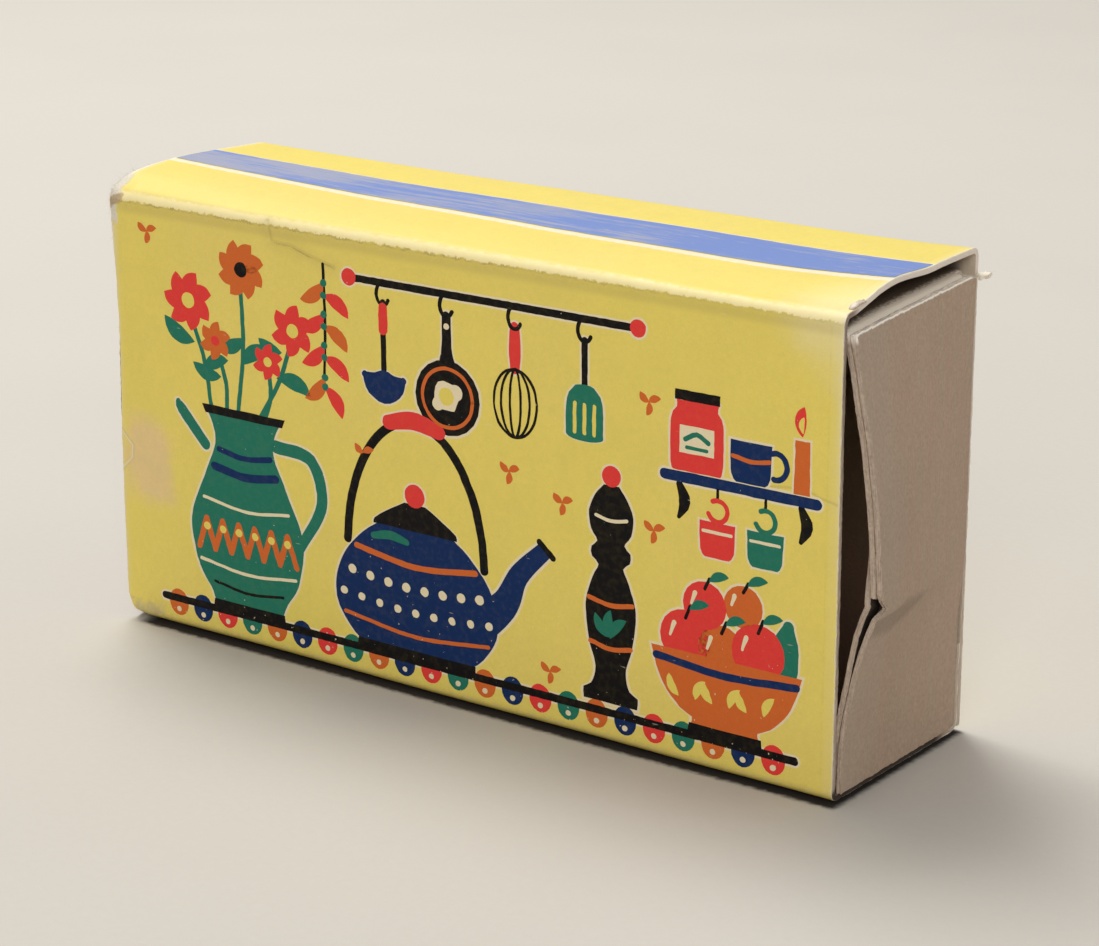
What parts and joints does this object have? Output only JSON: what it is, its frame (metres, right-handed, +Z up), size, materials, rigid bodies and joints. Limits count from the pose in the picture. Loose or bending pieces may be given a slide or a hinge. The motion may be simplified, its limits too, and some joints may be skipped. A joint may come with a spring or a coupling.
{
  "type": "slide-open kitchen matchbox",
  "caption": "Large worn slide-open matchbox, standing on its long narrow side: a printed board sleeve with striking strips and an empty folded board tray with one buckled end.",
  "frame": {"origin": "middle of the underside, on the lower striking strip that the box stands on, half way along the sleeve and half way between its front and back panels at the bottom", "axes": "+X along the box towards the buckled end of the tray, +Y from the front panel to the back panel, +Z up"},
  "size_m": [0.1308, 0.0365, 0.0699],
  "materials": {
    "printed_board": "yellow printed board, satin, worn at the folds",
    "grey_board": "unprinted grey-brown board, matt",
    "striker_coat": "blue striking coat, matt and gritty, streaked by use",
    "dried_glue": "dried glue film"
  },
  "bodies": {
    "outer_sleeve": {"sleeve": "printed_board", "sleeve_seam_glue": "dried_glue", "striker_top": "striker_coat", "striker_bottom": "striker_coat"},
    "sliding_tray": {"tray": "grey_board", "tab_glue_upper_left": "dried_glue", "tab_glue_lower_left": "dried_glue", "tab_glue_upper_right": "dried_glue", "tab_glue_lower_right": "dried_glue"}
  },
  "joints": [
    {"name": "tray_slide", "type": "slide", "parent": "outer_sleeve", "child": "sliding_tray", "axis": [1, 0, 0], "range_m": [-0.131, 0.126]}
  ]
}
